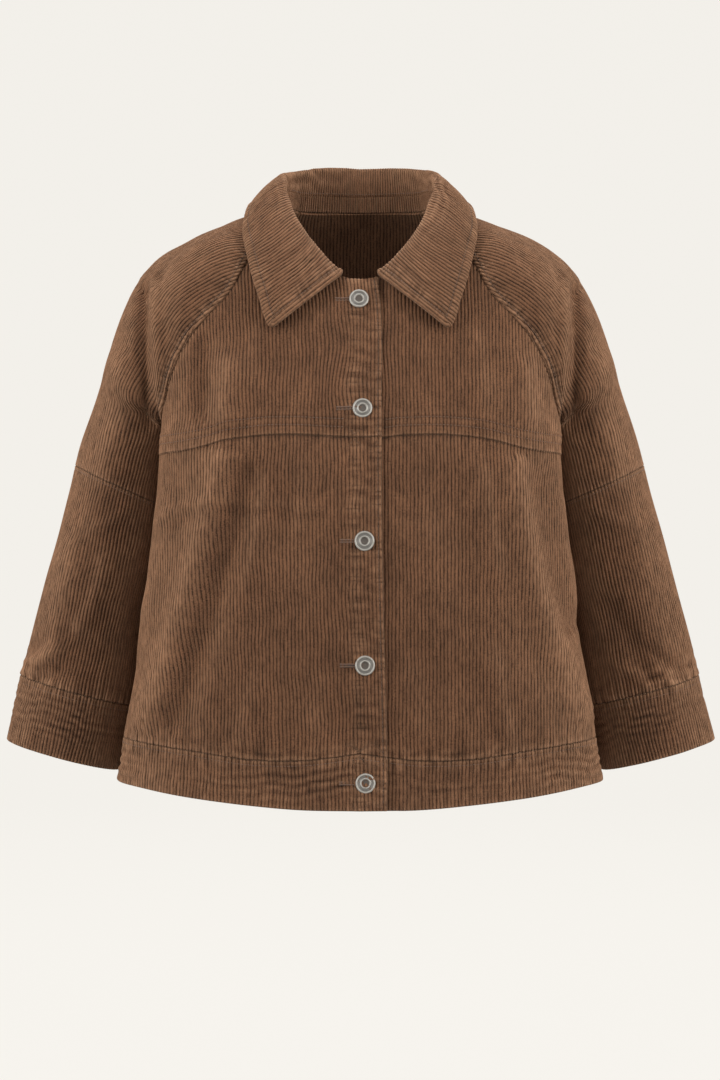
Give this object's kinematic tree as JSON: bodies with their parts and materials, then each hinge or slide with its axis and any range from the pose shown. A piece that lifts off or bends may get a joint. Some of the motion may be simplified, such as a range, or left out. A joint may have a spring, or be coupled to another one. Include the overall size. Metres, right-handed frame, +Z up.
{
  "type": "corduroy jacket",
  "caption": "Short corduroy jacket with raglan sleeves to below the elbow, a turned-down collar, a front yoke, hem band, cuffs and metal buttons, hollow as worn.",
  "frame": {"origin": "midway between the wearer's shoulders, just below the back of the neckline, where the wearer carries the jacket", "axes": "+X towards the wearer's left, -Y out of the front, +Z up"},
  "size_m": [0.7524, 0.3041, 0.6727],
  "materials": {
    "corduroy": "brown corduroy, matt, with a soft nap",
    "corduroy_band": "brown corduroy, doubled and topstitched",
    "button_metal": "worn grey metal with brighter rims"
  },
  "bodies": {
    "root": {"front_yoke_right": "corduroy", "front_yoke_left": "corduroy", "front_lower_right": "corduroy", "front_lower_left": "corduroy", "back": "corduroy", "hem_band_right": "corduroy_band", "hem_band_left": "corduroy_band", "hem_band_back": "corduroy_band", "sleeve_upper_right": "corduroy", "sleeve_upper_left": "corduroy", "sleeve_lower_right": "corduroy", "sleeve_lower_left": "corduroy", "cuff_right": "corduroy_band", "cuff_left": "corduroy_band", "collar_stand": "corduroy_band", "collar_fall": "corduroy_band", "button_1": "button_metal", "button_2": "button_metal", "button_3": "button_metal", "button_4": "button_metal", "button_5": "button_metal"}
  },
  "joints": []
}
